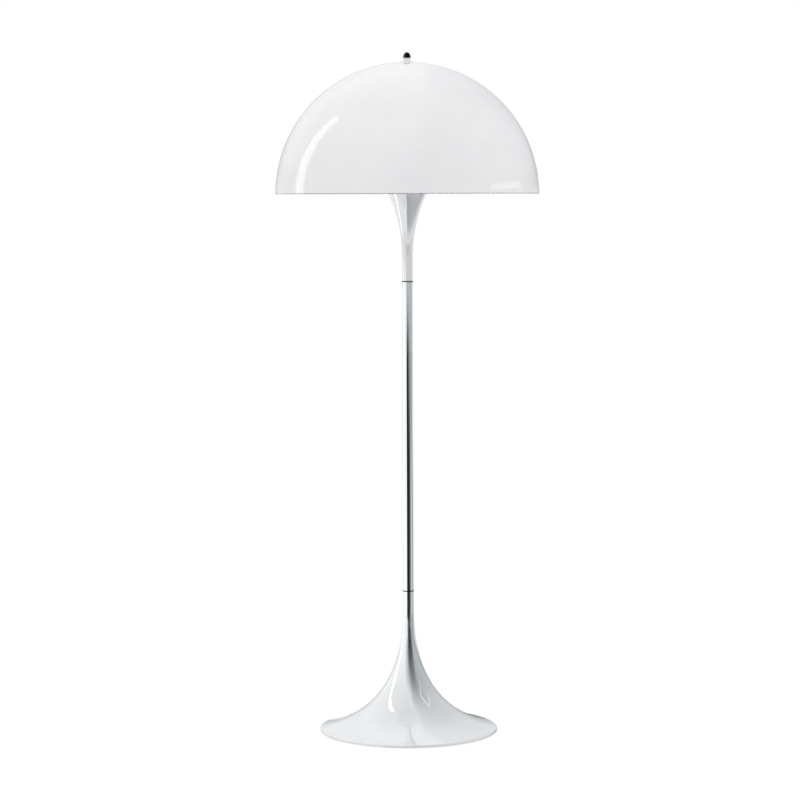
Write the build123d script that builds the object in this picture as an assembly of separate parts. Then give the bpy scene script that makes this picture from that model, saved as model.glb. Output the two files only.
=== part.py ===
"""A floor lamp with an opal dome shade, a trumpet foot, a chrome pole and a trumpet reflector.

Millimetres. +Z is up, and the origin is on the floor under the middle of the pole.
The front faces -Y, and the mains inlet is at the back, towards +Y.
A hollow rod runs through the foot, pole and reflector and pulls them together. A thin
spindle above it carries a rotary dimmer, and the shade hangs on the dimmer's bush.
"""

import os
from math import cos, pi, radians, sin, sqrt

from build123d import *

# ---------------------------------------------------------------- driving dimensions

# Fits and gaps
slide_gap = 0.05  # radial gap of a turned fit
seat_gap = 0.1  # between two curved faces that are clamped together
hole_gap = 0.3  # radial gap of a plain clearance hole
cover_gap = 0.4  # round the cover under the foot
bevel = 1.0  # on turned and moulded edges

# Foot
base_radius = 170.0
base_wall = 3.0
base_edge_height = 6.0  # where the flare ends above the floor
base_edge_round = 2.0
base_edge_low = 1.0  # the rim's gap to the floor
base_edge_slope = 13.5  # degrees, at the rim
base_edge_reach = 97.0  # how far the rim's slope carries into the flare
base_neck_start = 244.0  # where the straight neck begins
base_neck_reach = 151.0  # how far the neck's line carries into the flare
base_neck_length = 25.5  # straight, up to the lower ring
rim_wall = 3.0
ledge_width = 9.0  # the ledge inside the rim that sits on the cover
rib_count = 8
rib_thickness = 2.4
rib_inner_radius = 9.0
rib_height = 96.0
rib_spread = 16.0  # how much wider a rib is at its top than at its seat

# Cover and foot ring under the foot
cover_thickness = 2.0
foot_height = 2.2
foot_width = 14.0
foot_inset = 10.0  # from the foot's rim to the ring
foot_split = 16.0  # gap in the ring for the cord

# Ballast
ballast_radius = 118.0
ballast_rim_height = 9.0
ballast_step_radius = 48.0
ballast_step_height = 26.0
ballast_hub_radius = 27.0
ballast_hub_height = 44.0
ballast_recess_radius = 17.0
ballast_roof = 7.0  # iron left above the nut's recess
cord_channel_width = 14.0
cord_channel_height = 12.0

# Cord inlet at the back of the rim
grommet_width = 9.0
grommet_length = 15.0
grommet_height = 7.2
grommet_bore = 2.7
grommet_lift = 4.4  # height of the bore above the floor
cover_notch_depth = 30.0

# Terminal block in the cord channel
block_width = 11.0
block_length = 22.0
block_height = 9.0
block_distance = 48.0
terminal_radius = 1.9
terminal_pitch = 5.4
terminal_inset = 5.5  # from the block's ends to its screws
terminal_well = 4.5  # depth of the wells that the screws are sunk in
terminal_screw_height = 3.0

# Screws
cover_screw_count = 4
cover_screw_circle = 95.0
cover_screw_start = 45.0  # degrees from +X to the first screw
cover_screw_radius = 2.0
cover_screw_length = 12.0
cover_screw_head = 3.6

# Pole, joint rings and spigots
pole_radius = 10.0
pole_wall = 1.5
neck_wall = 2.0
pole_length = 591.5
ring_thickness = 2.0
ring_radius = 10.8
spigot_length = 31.0  # into each side of a joint
rod_radius = 5.0
rod_bore = 3.5
rod_end_gap = 6.0  # bare rod below its nut

# Nuts and washers
nut_width = 17.0
nut_thickness = 8.0
washer_radius = 11.0
washer_thickness = 2.0

# Supply lead inside the rod
lead_radius = 2.5
lead_bend = 15.0

# Reflector
reflector_wall = 2.5
reflector_neck_length = 50.0  # straight, from the upper ring
reflector_neck_reach = 65.0  # how far the neck's line carries into the flare
reflector_mouth_radius = 118.0
reflector_height = 247.0  # from the upper ring to the mouth
reflector_mouth_slope = 19.0  # degrees, at the mouth
reflector_mouth_reach = 82.5  # how far the mouth's slope carries into the flare
throat_height = 80.0  # of the clamping cone above the upper ring
throat_length = 40.0

# Lampholders on their three-armed carrier
carrier_drop = 36.0  # of the carrier below the reflector's mouth
carrier_thickness = 3.0
carrier_hub_radius = 13.0
carrier_arm_width = 12.0
carrier_eye_radius = 11.0
lamp_count = 3
lamp_circle = 42.0
first_lamp_angle = 90.0
jam_nut_thickness = 6.0
holder_radius = 13.0
holder_foot_radius = 11.5
holder_foot_height = 6.0
holder_collar_radius = 14.5
holder_collar_height = 5.0
holder_height = 36.0
socket_depth = 22.0
socket_radius = 7.5
sleeve_wall = 0.4
sleeve_height = 18.0
pad_radius = 3.5
pad_thickness = 0.8
stem_radius = 1.2
nipple_radius = 5.0
nipple_bore = 3.5
nipple_engagement = 8.0
nipple_drop = 6.0
nipple_nut_width = 14.0
nipple_nut_thickness = 4.0
holder_lead_radius = 1.5
holder_lead_height = 13.0  # of the side hole above the carrier
holder_lead_bend = 4.0
holder_lead_level = 0.5  # share of its reach that a lead runs level from the spindle
holder_lead_low = 0.72  # share of its reach where it is down at the holder's level
spindle_exit_height = 6.0  # of the spindle's side holes above the coupler

# Bulbs
bulb_radius = 22.5
bulb_neck_height = 5.0
bulb_ball_height = 26.0
bulb_shoulder_angle = -52.0
bulb_glass = 0.9
cap_radius = 6.9
cap_height = 20.0
contact_radius = 2.4
contact_height = 2.0

# Coupler and spindle
coupler_width = 14.0
coupler_length = 24.0
coupler_split = 1.0  # gap between rod and spindle inside the coupler
spindle_radius = 5.0
spindle_bore = 3.5

# Shade
shade_radius = 250.0
shade_depth = 248.5
shade_wall = 3.0
shade_rim_drop = 82.0  # of the rim below the reflector's mouth
shade_rim_round = 0.6
shade_land_radius = 14.0
shade_inner_land_radius = 20.0

# Dimmer
seat_washer_radius = 16.0
seat_washer_thickness = 2.0
dimmer_radius = 17.0
dimmer_wall = 1.8
dimmer_depth = 22.0
dimmer_floor = 2.5
dimmer_boss_radius = 9.0
dimmer_boss_length = 10.0
dimmer_cover_thickness = 2.5
bush_radius = 5.0
shaft_radius = 3.0
shaft_collar_radius = 5.0
shaft_collar_height = 1.5
shaft_play = 0.15
pivot_radius = 2.0
pivot_length = 2.6
board_thickness = 1.6
board_lift = 5.0
board_ledge = 1.6
track_radius = 8.4
track_width = 2.2
track_thickness = 0.4
track_margin = 10.0  # degrees without track, at each end of the turn
wiper_hub_radius = 5.4
wiper_hub_height = 4.0
wiper_shoe = 1.2
wiper_gap = 0.1
turn_range = 290.0  # degrees between the two stops
stop_lug_angle = 24.0
stop_lug_radius = 10.0
stop_gap_angle = 1.0
stop_overlap = 2.6  # how far lug and stop overlap radially
boss_circle = 13.0
boss_radius = 2.5
cover_bolt_radius = 1.25
cover_bolt_head = 2.4
cover_bolt_length = 8.0

# Top washer, nut and knob
top_washer_radius = 12.5
top_washer_thickness = 1.5
shade_nut_radius = 6.5
shade_nut_height = 5.8
knob_gap = 1.0
knob_skirt_radius = 8.3
knob_skirt_height = 1.6
knob_radius = 7.0
knob_height = 10.6
knob_shaft_depth = 7.4
knob_bore_gap = 0.02
shaft_flat = 0.7
grub_radius = 1.25
grub_height = 4.0

# ---------------------------------------------------------------- helpers

UPRIGHT = (Align.CENTER, Align.CENTER, Align.MIN)


def at(radius, height):
    """A point of a turned outline."""
    return Vector(radius, 0, height)


def spun(*edges):
    """Turn a closed outline of edges once round the Z axis."""
    return revolve(Face(Wire(list(edges))), Axis.Z)


def turned(*corners):
    """Turn a closed outline of straight lines, given by its corners as (radius, height)."""
    points = [at(*corner) for corner in corners]
    return spun(*[Line(a, b) for a, b in zip(points, points[1:] + points[:1])])


def rod(radius, bottom, top):
    """A solid cylinder on the axis."""
    return Pos(0, 0, bottom) * Cylinder(radius, top - bottom, align=UPRIGHT)


def tube(outer, inner, bottom, top):
    """A cylinder on the axis with a bore."""
    return rod(outer, bottom, top) - rod(inner, bottom, top)


def hex_nut(width, bore, bottom, top):
    """A hexagon nut with both faces chamfered at its corners."""
    corner = width / sqrt(3)
    chamfer_height = (corner - width / 2) / 2
    blank = Pos(0, 0, bottom) * extrude(RegularPolygon(corner, 6), top - bottom)
    lathe = turned(
        (0, bottom),
        (width / 2, bottom),
        (corner, bottom + chamfer_height),
        (corner, top - chamfer_height),
        (width / 2, top),
        (0, top),
    )
    return (blank & lathe) - rod(bore, bottom, top)


def round_the_axis(piece, count, start=0.0):
    """Copies of a piece, evenly spaced round the axis."""
    return [Rot(0, 0, start + 360 / count * i) * piece for i in range(count)]


def left_of(run):
    return Vector(-run.Z, 0, run.X)


def parallel(points, distance):
    """Control points of a curve beside this one, to the left of its run."""
    runs = [(b - a).normalized() for a, b in zip(points, points[1:])]
    sides = [left_of(run) for run in runs]
    moved = [points[0] + sides[0] * distance]
    for corner, before, after in zip(points[1:-1], sides, sides[1:]):
        middle = (before + after).normalized()
        moved.append(corner + middle * (distance / middle.dot(before)))
    moved.append(points[-1] + sides[-1] * distance)
    return moved


def save(name, solid):
    export_step(solid, os.path.join("parts", name + ".step"))


os.makedirs("parts", exist_ok=True)

# ---------------------------------------------------------------- shared levels and curves

cover_bottom = foot_height
cover_top = cover_bottom + cover_thickness
hub_top = cover_top + ballast_hub_height
block_bottom = cover_top + cord_channel_height - block_height
recess_top = hub_top - ballast_roof
lower_nut_top = recess_top - washer_thickness
lower_nut_bottom = lower_nut_top - nut_thickness
rod_bottom = lower_nut_bottom - rod_end_gap
base_top = base_neck_start + base_neck_length
pole_bottom = base_top + ring_thickness
pole_top = pole_bottom + pole_length
reflector_bottom = pole_top + ring_thickness
reflector_neck_start = reflector_bottom + reflector_neck_length
reflector_top = reflector_bottom + reflector_height
throat_bottom = reflector_bottom + throat_height
throat_top = throat_bottom + throat_length
carrier_bottom = reflector_top - carrier_drop
neck_bore = pole_radius - neck_wall
pole_bore = pole_radius - pole_wall
carrier_top = carrier_bottom + carrier_thickness
coupler_top = carrier_top + coupler_length
rod_top = carrier_top + (coupler_length - coupler_split) / 2
spindle_bottom = rod_top + coupler_split
nipple_top = carrier_top + nipple_engagement
holder_top = carrier_top + holder_height
cap_bottom = holder_top - socket_depth
bulb_bottom = cap_bottom + cap_height
shade_bottom = reflector_top - shade_rim_drop
dome_height = shade_bottom + shade_depth - shade_radius  # of the dome's middle
shade_bore = bush_radius + hole_gap
inner_radius = shade_radius - shade_wall
land_top = dome_height + sqrt(shade_radius**2 - shade_land_radius**2)
land_bottom = dome_height + sqrt(inner_radius**2 - shade_inner_land_radius**2)
dimmer_cover_top = land_bottom - seat_washer_thickness
dimmer_top = dimmer_cover_top - dimmer_cover_thickness
dimmer_bottom = dimmer_top - dimmer_depth
dimmer_floor_top = dimmer_bottom + dimmer_floor
dimmer_inner = dimmer_radius - dimmer_wall
board_bottom = dimmer_floor_top + board_lift
board_top = board_bottom + board_thickness
wiper_bottom = board_top + track_thickness + wiper_gap + wiper_shoe
shaft_bottom = board_top + wiper_gap
nut_bottom = land_top + top_washer_thickness
nut_top = nut_bottom + shade_nut_height
knob_bottom = nut_top + knob_gap
knob_top = knob_bottom + knob_height
shaft_top = knob_bottom + knob_shaft_depth

base_edge = at(
    base_radius - base_edge_round * (1 - sin(radians(base_edge_slope))), base_edge_height
)
base_curve = [
    base_edge,
    base_edge
    + at(-cos(radians(base_edge_slope)), sin(radians(base_edge_slope))) * base_edge_reach,
    at(pole_radius, base_neck_start - base_neck_reach),
    at(pole_radius, base_neck_start),
]
reflector_mouth = at(reflector_mouth_radius, reflector_top)
mouth_run = at(-cos(radians(reflector_mouth_slope)), -sin(radians(reflector_mouth_slope)))
reflector_curve = [
    at(pole_radius, reflector_neck_start),
    at(pole_radius, reflector_neck_start + reflector_neck_reach),
    reflector_mouth + mouth_run * reflector_mouth_reach,
    reflector_mouth,
]

# ---------------------------------------------------------------- foot


def base_cavity():
    """The hollow under the foot's flare, down to the floor."""
    curve = parallel(base_curve, base_wall)
    start, end = curve[0], curve[-1]
    under = spun(
        Bezier(*curve),
        Line(end, at(0, end.Z)),
        Line(at(0, end.Z), at(0, 0)),
        Line(at(0, 0), at(start.X, 0)),
        Line(at(start.X, 0), start),
    )
    return under & rod(base_radius - rim_wall - ledge_width, cover_top, end.Z)


def base_rib():
    """One rib between the hub of the ballast and the inside of the flare."""
    outline = Polyline(
        at(rib_inner_radius, hub_top),
        at(ballast_hub_radius, hub_top),
        at(ballast_hub_radius + rib_spread, hub_top + rib_height / 2),
        at(ballast_hub_radius + rib_spread, hub_top + rib_height),
        at(rib_inner_radius, hub_top + rib_height),
        close=True,
    )
    return extrude(Face(Wire(outline.edges())), rib_thickness / 2, both=True)


def grommet_slot(extra=0.0):
    """The block of space that the cord's grommet fills in the rim."""
    width = grommet_width + 2 * extra
    y = base_radius - grommet_length - extra
    return Pos(0, y, base_edge_low) * Box(
        width, grommet_length + extra, grommet_height, align=(Align.CENTER, Align.MIN, Align.MIN)
    )


def base_trumpet():
    """The white foot: a neck that flares out to a thin rim, with ribs inside."""
    edge_start = at(base_radius, base_edge_height - base_edge_round * cos(radians(base_edge_slope)))
    body = spun(
        Line(at(0, base_edge_low), at(base_radius, base_edge_low)),
        Line(at(base_radius, base_edge_low), edge_start),
        TangentArc(edge_start, base_edge, tangent=(0, 0, 1)),
        Bezier(*base_curve),
        Line(base_curve[-1], at(pole_radius, base_top)),
        Line(at(pole_radius, base_top), at(0, base_top)),
        Line(at(0, base_top), at(0, base_edge_low)),
    )
    hollow = base_cavity()
    shell = body - hollow - rod(neck_bore, cover_top, base_top)
    shell -= rod(base_radius - rim_wall, base_edge_low, cover_top)
    shell -= grommet_slot()
    for rib in round_the_axis(base_rib(), rib_count, 180 / rib_count):
        shell += rib & hollow
    return shell


def cord_grommet():
    """The rubber block in the rim's slot, with a bore for the mains cord."""
    block = grommet_slot()
    top_edges = block.edges().filter_by(Axis.Y).group_by(Axis.Z)[-1]
    block = fillet(top_edges, grommet_width / 4)
    bore = Pos(0, base_radius, grommet_lift) * Rot(90, 0, 0) * Cylinder(
        grommet_bore, 2 * grommet_length
    )
    return block - bore


def cover_screw_places():
    return round_the_axis(Pos(cover_screw_circle, 0, 0), cover_screw_count, cover_screw_start)


def screw(radius, head_radius, length):
    """A countersunk screw with its head's face at height 0 and its tip pointing up."""
    head = head_radius - radius
    body = turned((0, 0), (head_radius, 0), (radius, head), (radius, length), (0, length))
    return body - Box(2 * head_radius, head_radius / 4, head)


def screw_hole(radius, head_radius, length):
    """The countersunk hole for such a screw."""
    cone = turned((0, 0), (head_radius + slide_gap, 0), (0, head_radius + slide_gap))
    return cone + Cylinder(radius + slide_gap, length, align=UPRIGHT)


def base_cover():
    """The plate that closes the foot from below."""
    plate = rod(base_radius - rim_wall - cover_gap, cover_bottom, cover_top)
    notch_width = grommet_width + 2 * cover_gap
    plate -= Pos(0, base_radius, cover_bottom) * Box(
        notch_width, 2 * cover_notch_depth, cover_thickness, align=UPRIGHT
    )
    hole = screw_hole(cover_screw_radius, cover_screw_head, cover_thickness)
    for place in cover_screw_places():
        plate -= Pos(0, 0, cover_bottom) * place * hole
    return plate


def foot_ring():
    """The rubber ring that the lamp stands on, split at the back for the cord."""
    outer = base_radius - foot_inset
    ring = tube(outer, outer - foot_width, 0, foot_height)
    return ring - Pos(0, outer, 0) * Box(foot_split, 3 * foot_width, foot_height, align=UPRIGHT)


def ballast_disc():
    """The cast iron weight, with a hub for the rod and a channel for the cord."""
    disc = turned(
        (0, cover_top),
        (ballast_radius, cover_top),
        (ballast_radius, cover_top + ballast_rim_height),
        (ballast_step_radius, cover_top + ballast_step_height),
        (ballast_hub_radius, cover_top + ballast_step_height),
        (ballast_hub_radius, hub_top),
        (0, hub_top),
    )
    disc -= rod(ballast_recess_radius, cover_top, recess_top)
    disc -= rod(rod_radius + hole_gap, recess_top, hub_top)
    disc -= Pos(0, 0, cover_top) * Box(
        cord_channel_width,
        ballast_radius + bevel,
        cord_channel_height,
        align=(Align.CENTER, Align.MIN, Align.MIN),
    )
    hole = Cylinder(cover_screw_radius + slide_gap, cover_screw_length, align=UPRIGHT)
    for place in cover_screw_places():
        disc -= Pos(0, 0, cover_bottom) * place * hole
    return disc


def terminal_places():
    """The mouths of the terminal block's four wells."""
    near, far = block_distance + terminal_inset, block_distance + block_length - terminal_inset
    return [
        Pos(side * terminal_pitch / 2, y, block_bottom) for side in (-1, 1) for y in (near, far)
    ]


def terminal_block():
    """The two-pole connector that joins the cord to the supply lead."""
    block = Pos(0, block_distance, block_bottom) * Box(
        block_width, block_length, block_height, align=(Align.CENTER, Align.MIN, Align.MIN)
    )
    well = Cylinder(terminal_radius + slide_gap, terminal_well, align=UPRIGHT)
    for place in terminal_places():
        block -= place * well
    return block


def terminal_screws():
    """The four brass screws of the terminal block, sunk in its wells."""
    head = terminal_well - terminal_screw_height
    blank = Pos(0, 0, head) * Cylinder(terminal_radius, terminal_screw_height, align=UPRIGHT)
    blank -= Pos(0, 0, head) * Box(2 * terminal_radius, terminal_radius / 3, bevel, align=UPRIGHT)
    return Compound([place * blank.solid() for place in terminal_places()])


save("base_trumpet", base_trumpet())
save("ballast_disc", ballast_disc())
save("base_cover", base_cover())
save("foot_ring", foot_ring())
save("cord_grommet", cord_grommet())
save("terminal_block", terminal_block())
save("terminal_screws", terminal_screws())
cover_screw = screw(cover_screw_radius, cover_screw_head, cover_screw_length)
save(
    "cover_screws",
    Compound(
        [Pos(0, 0, cover_bottom) * place * cover_screw.solid() for place in cover_screw_places()]
    ),
)
save("lower_washer", tube(washer_radius, rod_radius + hole_gap, lower_nut_top, recess_top))
save("lower_nut", hex_nut(nut_width, rod_radius + slide_gap, lower_nut_bottom, lower_nut_top))

# ---------------------------------------------------------------- pole


def spigot(ring_bottom, pole_side):
    """A plug that lines up the pole and a neck. pole_side is 1 if the pole is above."""
    ring_top = ring_bottom + ring_thickness
    bottom, top = ring_bottom - spigot_length, ring_top + spigot_length
    split = ring_top if pole_side > 0 else ring_bottom
    into_pole, into_neck = pole_bore - slide_gap, neck_bore - slide_gap
    lower, upper = (into_neck, into_pole) if pole_side > 0 else (into_pole, into_neck)
    body = turned((0, bottom), (lower, bottom), (lower, split), (upper, split), (upper, top), (0, top))
    return body - rod(rod_radius + hole_gap, bottom, top)


def joint_ring(ring_bottom):
    """The black ring that shows between the pole and a neck."""
    return tube(ring_radius, neck_bore, ring_bottom, ring_bottom + ring_thickness)


def supply_lead():
    """The lead from the terminal block up through the rod and the spindle to the dimmer."""
    entry = block_bottom + block_height / 2
    first = (0, block_distance, entry)
    route = FilletPolyline(first, (0, 0, entry), (0, 0, dimmer_floor_top), radius=lead_bend)
    start = Plane(origin=first, z_dir=(0, -1, 0))
    return sweep(start * Circle(lead_radius), path=Wire(route.edges()))


save("pole_tube", tube(pole_radius, pole_bore, pole_bottom, pole_top))
save("lower_joint_ring", joint_ring(base_top))
save("upper_joint_ring", joint_ring(pole_top))
save("lower_spigot", spigot(base_top, 1))
save("upper_spigot", spigot(pole_top, -1))
save("tie_rod", tube(rod_radius, rod_bore, rod_bottom, rod_top))
save("supply_lead", supply_lead())

# ---------------------------------------------------------------- reflector


def bowl_space(inset, bottom, top):
    """The space inside the reflector, an inset away from its outside."""
    curve = parallel(reflector_curve, inset)
    start, end = curve[0], curve[-1]
    space = spun(
        Bezier(*curve),
        Line(end, at(0, end.Z)),
        Line(at(0, end.Z), at(0, start.Z)),
        Line(at(0, start.Z), start),
    )
    return space & rod(2 * reflector_mouth_radius, bottom, top)


def reflector_trumpet():
    """The white trumpet under the shade: a neck that opens to a wide reflecting bowl."""
    outer, inner = reflector_curve, parallel(reflector_curve, reflector_wall)
    lip = (outer[-1] + inner[-1]) / 2 + (outer[-1] - outer[-2]).normalized() * (reflector_wall / 2)
    body = spun(
        Line(at(0, reflector_bottom), at(pole_radius, reflector_bottom)),
        Line(at(pole_radius, reflector_bottom), outer[0]),
        Bezier(*outer),
        ThreePointArc(outer[-1], lip, inner[-1]),
        Bezier(*reversed(inner)),
        Line(inner[0], at(0, inner[0].Z)),
        Line(at(0, inner[0].Z), at(0, reflector_bottom)),
    )
    return body - rod(neck_bore, reflector_bottom, throat_top)


def throat_cone():
    """The turned cone that the throat nut presses into the reflector's flare."""
    cone = bowl_space(reflector_wall + seat_gap, throat_bottom, throat_top)
    return cone - rod(rod_radius + hole_gap, throat_bottom, throat_top)


def lamp_carrier():
    """The pressed steel spider that holds the lampholders."""
    plate = rod(carrier_hub_radius, carrier_bottom, carrier_top)
    arm = Pos(0, 0, carrier_bottom) * Box(
        lamp_circle, carrier_arm_width, carrier_thickness, align=(Align.MIN, Align.CENTER, Align.MIN)
    )
    eye = Pos(lamp_circle, 0, 0) * rod(carrier_eye_radius, carrier_bottom, carrier_top)
    hole = Pos(lamp_circle, 0, 0) * rod(nipple_radius + hole_gap, carrier_bottom, carrier_top)
    for piece in round_the_axis(arm + eye, lamp_count, first_lamp_angle):
        plate += piece
    for piece in round_the_axis(hole, lamp_count, first_lamp_angle):
        plate -= piece
    return plate - rod(rod_radius + hole_gap, carrier_bottom, carrier_top)


def lampholder():
    """One lampholder, standing over its hole in the carrier."""
    foot_top = carrier_top + holder_foot_height
    collar_bottom = holder_top - holder_collar_height
    body = turned(
        (0, carrier_top),
        (holder_foot_radius, carrier_top),
        (holder_foot_radius, foot_top - bevel),
        (holder_radius, foot_top),
        (holder_radius, collar_bottom - bevel),
        (holder_collar_radius, collar_bottom),
        (holder_collar_radius, holder_top - bevel),
        (holder_collar_radius - bevel, holder_top),
        (0, holder_top),
    )
    body -= rod(socket_radius, cap_bottom, holder_top)
    body -= rod(nipple_radius + slide_gap, carrier_top, nipple_top)
    return Pos(lamp_circle, 0, 0) * body - holder_contact(slide_gap)


def holder_contact(gap=0.0):
    """The centre contact, a pad under the bulb's cap on a stem down to the lead."""
    pad = rod(pad_radius + gap, cap_bottom - pad_thickness, cap_bottom)
    return Pos(lamp_circle, 0, 0) * (pad + rod(stem_radius + gap, nipple_top, cap_bottom))


def holder_sleeve():
    """The brass sleeve that the bulb's cap screws into."""
    outer = socket_radius - slide_gap
    return Pos(lamp_circle, 0, 0) * tube(
        outer, outer - sleeve_wall, holder_top - sleeve_height, holder_top
    )


def nipple():
    """The threaded tube that fixes a lampholder to the carrier."""
    piece = tube(nipple_radius, nipple_bore, carrier_bottom - nipple_drop, nipple_top)
    return Pos(lamp_circle, 0, 0) * piece


def nipple_nut():
    piece = hex_nut(
        nipple_nut_width,
        nipple_radius + slide_gap,
        carrier_bottom - nipple_nut_thickness,
        carrier_bottom,
    )
    return Pos(lamp_circle, 0, 0) * piece


def bulb_envelope(inset):
    """The round outline of a bulb, an inset away from its outside."""
    ball = bulb_bottom + bulb_ball_height
    radius = bulb_radius - inset

    def on_ball(angle):
        return at(radius * cos(radians(angle)), ball + radius * sin(radians(angle)))

    shoulder, neck = on_ball(bulb_shoulder_angle), at(cap_radius - inset, bulb_bottom)
    neck_top = at(cap_radius - inset, bulb_bottom + bulb_neck_height)
    middle = on_ball((bulb_shoulder_angle + 90) / 2)
    return spun(
        Line(at(0, bulb_bottom), neck),
        Line(neck, neck_top),
        Line(neck_top, shoulder),
        ThreePointArc(shoulder, middle, on_ball(90)),
        Line(on_ball(90), at(0, bulb_bottom)),
    )


def bulb():
    """The opal glass of one bulb, open at its neck."""
    return Pos(lamp_circle, 0, 0) * (bulb_envelope(0) - bulb_envelope(bulb_glass))


def bulb_cap():
    """The screw cap of one bulb with the contact at its foot."""
    shoulder = cap_bottom + contact_height
    piece = turned(
        (0, cap_bottom),
        (contact_radius, cap_bottom),
        (contact_radius, cap_bottom + contact_height / 2),
        (cap_radius, shoulder + bevel),
        (cap_radius, bulb_bottom),
        (0, bulb_bottom),
    )
    return Pos(lamp_circle, 0, 0) * piece


def holder_lead():
    """One lead from the spindle's side hole to the side of a lampholder."""
    high = coupler_top + spindle_exit_height
    low = carrier_top + holder_lead_height
    start = (spindle_bore, 0, high)
    reach = lamp_circle - holder_radius
    route = FilletPolyline(
        start,
        (reach * holder_lead_level, 0, high),
        (reach * holder_lead_low, 0, low),
        (reach, 0, low),
        radius=holder_lead_bend,
    )
    section = Plane(origin=start, z_dir=(1, 0, 0)) * Circle(holder_lead_radius)
    return sweep(section, path=Wire(route.edges()))


def spindle():
    """The thin tube that carries the dimmer, with a side hole for each lampholder's lead."""
    piece = tube(spindle_radius, spindle_bore, spindle_bottom, dimmer_bottom)
    exit_hole = Pos(0, 0, coupler_top + spindle_exit_height) * Rot(0, 90, 0) * Cylinder(
        holder_lead_radius + hole_gap, 2 * spindle_radius, align=UPRIGHT
    )
    for hole in round_the_axis(exit_hole, lamp_count, first_lamp_angle):
        piece -= hole
    return piece


save("reflector_trumpet", reflector_trumpet())
save("throat_cone", throat_cone())
save("throat_nut", hex_nut(nut_width, rod_radius + slide_gap, throat_top, throat_top + nut_thickness))
save(
    "carrier_nut",
    hex_nut(nut_width, rod_radius + slide_gap, carrier_bottom - jam_nut_thickness, carrier_bottom),
)
save("lamp_carrier", lamp_carrier())
save("coupler", hex_nut(coupler_width, rod_radius + slide_gap, carrier_top, coupler_top))
save("spindle", spindle())
for name, piece in (
    ("lampholder", lampholder()),
    ("bulb_glass", bulb()),
    ("bulb_cap", bulb_cap()),
):
    for number, copy in enumerate(round_the_axis(piece, lamp_count, first_lamp_angle), 1):
        save(f"{name}_{number}", copy)
for name, piece in (
    ("holder_nipples", nipple()),
    ("holder_nuts", nipple_nut()),
    ("holder_leads", holder_lead()),
    ("holder_sleeves", holder_sleeve()),
    ("holder_contacts", holder_contact()),
):
    copies = round_the_axis(piece, lamp_count, first_lamp_angle)
    save(name, Compound([copy.solid() for copy in copies]))

# ---------------------------------------------------------------- shade


def shade():
    """The opal dome, with a flat land round its hole on both faces."""

    def on_dome(radius, across):
        return at(across, dome_height + sqrt(radius**2 - across**2))

    def half_way(radius, a, b):
        middle = (a + b) / 2 - at(0, dome_height)
        return at(0, dome_height) + middle.normalized() * radius

    rim = shade_bottom + shade_rim_round
    outer_rim = at(sqrt(shade_radius**2 - (rim - dome_height) ** 2), rim)
    inner_rim = at(sqrt(inner_radius**2 - (rim - dome_height) ** 2), rim)
    outer_land = on_dome(shade_radius, shade_land_radius)
    inner_land = on_dome(inner_radius, shade_inner_land_radius)
    lip = at((outer_rim.X + inner_rim.X) / 2, rim - shade_rim_round)
    return spun(
        ThreePointArc(inner_rim, lip, outer_rim),
        ThreePointArc(outer_rim, half_way(shade_radius, outer_rim, outer_land), outer_land),
        Line(outer_land, at(shade_bore, land_top)),
        Line(at(shade_bore, land_top), at(shade_bore, land_bottom)),
        Line(at(shade_bore, land_bottom), inner_land),
        ThreePointArc(inner_land, half_way(inner_radius, inner_rim, inner_land), inner_rim),
    )


save("shade", shade())
save("seat_washer", tube(seat_washer_radius, shade_bore, dimmer_cover_top, land_bottom))
save("top_washer", tube(top_washer_radius, shade_bore, land_top, nut_bottom))
save("shade_nut", tube(shade_nut_radius, bush_radius + slide_gap, nut_bottom, nut_top))

# ---------------------------------------------------------------- dimmer


def wedge(radius, angle, bottom, top):
    """A sector of a disc, centred on +X."""
    half = radians(angle / 2)
    reach = radius / cos(half)
    corners = [(0, 0), (reach * cos(half), -reach * sin(half)), (reach * cos(half), reach * sin(half))]
    prism = Pos(0, 0, bottom) * extrude(Polygon(*corners, align=None), top - bottom)
    return prism & rod(radius, bottom, top)


stop_angle = 360 - turn_range - stop_lug_angle - 2 * stop_gap_angle
lug_start = (stop_angle + stop_lug_angle) / 2 + stop_gap_angle
lug_bottom = wiper_bottom
lug_top = lug_bottom + wiper_hub_height


def boss_places():
    return [Pos(side * boss_circle, 0, 0) for side in (-1, 1)]


def dimmer_cup():
    """The dimmer's housing, with a boss for the spindle and a stop for the wiper."""
    cup = rod(dimmer_radius, dimmer_bottom, dimmer_top)
    cup -= rod(dimmer_inner, dimmer_floor_top, dimmer_top)
    into_wall = dimmer_inner + dimmer_wall / 2
    cup += tube(into_wall, dimmer_inner - board_ledge, dimmer_floor_top, board_bottom)
    boss_bottom = dimmer_bottom - dimmer_boss_length
    cup += tube(dimmer_boss_radius, spindle_radius + slide_gap, boss_bottom, dimmer_bottom)
    stop = wedge(into_wall, stop_angle, board_top, lug_top)
    cup += stop - rod(stop_lug_radius - stop_overlap, board_top, lug_top)
    post = rod(boss_radius, board_top, dimmer_top)
    for place in boss_places():
        cup += Rot(0, 0, 90) * place * post
    hole = rod(cover_bolt_radius + slide_gap, dimmer_top - cover_bolt_length, dimmer_top)
    for place in boss_places():
        cup -= Rot(0, 0, 90) * place * hole
    return cup - rod(spindle_bore, dimmer_bottom, dimmer_floor_top)


def dimmer_board():
    """The disc in the cup with the carbon track that the wiper runs on."""
    board = rod(dimmer_inner - slide_gap, board_bottom, board_top)
    track = tube(
        track_radius + track_width / 2,
        track_radius - track_width / 2,
        board_top,
        board_top + track_thickness,
    )
    bare = 360 - turn_range - 2 * track_margin
    board += track - wedge(dimmer_radius, bare, board_top, board_top + track_thickness)
    return board - rod(pivot_radius + slide_gap, board_bottom, board_top)


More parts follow.
